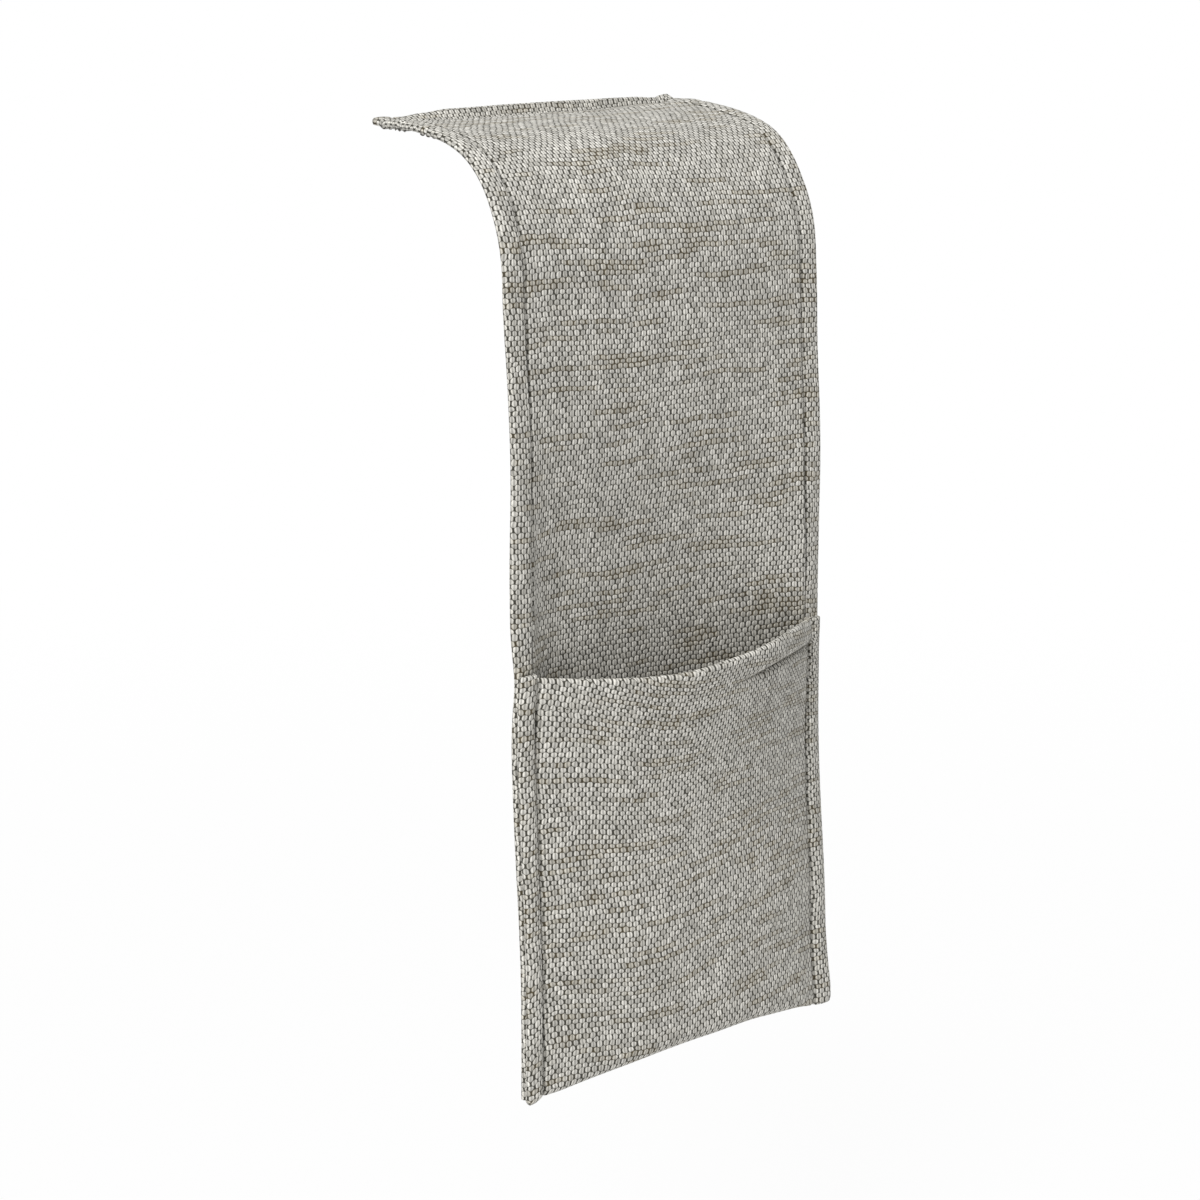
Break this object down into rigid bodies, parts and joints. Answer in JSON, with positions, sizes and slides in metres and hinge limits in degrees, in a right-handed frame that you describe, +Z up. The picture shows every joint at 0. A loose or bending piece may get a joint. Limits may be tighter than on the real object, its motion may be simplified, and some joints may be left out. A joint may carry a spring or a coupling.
{
  "type": "bedside caddy",
  "caption": "Narrow hanging bedside caddy in coarse woven cloth: a flap for under the mattress, a long drop over the bed's side and an open pocket at the bottom.",
  "frame": {"origin": "middle of the flap's flat underside, where the flap lies on the bed base under the mattress", "axes": "+Z up along the hanging part, +X across the strip to the right as seen from the front, -Y the front with the pocket, +Y back along the flap"},
  "size_m": [0.1486, 0.0926, 0.3203],
  "materials": {
    "cloth": "coarse plain weave, matte",
    "hem_cloth": "coarse plain weave, matte",
    "thread": "spun thread, matte"
  },
  "bodies": {
    "flap": {"flap_panel": "cloth", "flap_end_hem": "hem_cloth", "flap_left_hem": "hem_cloth", "flap_right_hem": "hem_cloth", "flap_end_thread": "thread", "flap_left_thread": "thread", "flap_right_thread": "thread"},
    "hanging": {"drop_panel": "cloth", "pocket_panel": "cloth", "pocket_mouth_hem": "hem_cloth", "drop_left_hem": "hem_cloth", "drop_right_hem": "hem_cloth", "pocket_left_hem": "hem_cloth", "pocket_right_hem": "hem_cloth", "pocket_mouth_thread": "thread", "drop_left_thread": "thread", "drop_right_thread": "thread", "pocket_left_thread": "thread", "pocket_right_thread": "thread"}
  },
  "joints": [
    {"name": "bend_fold", "type": "hinge", "parent": "flap", "child": "hanging", "pos_m": [0, -0.04969, -0.02661], "axis": [1, 0, 0], "range_deg": [-80, 70]}
  ]
}
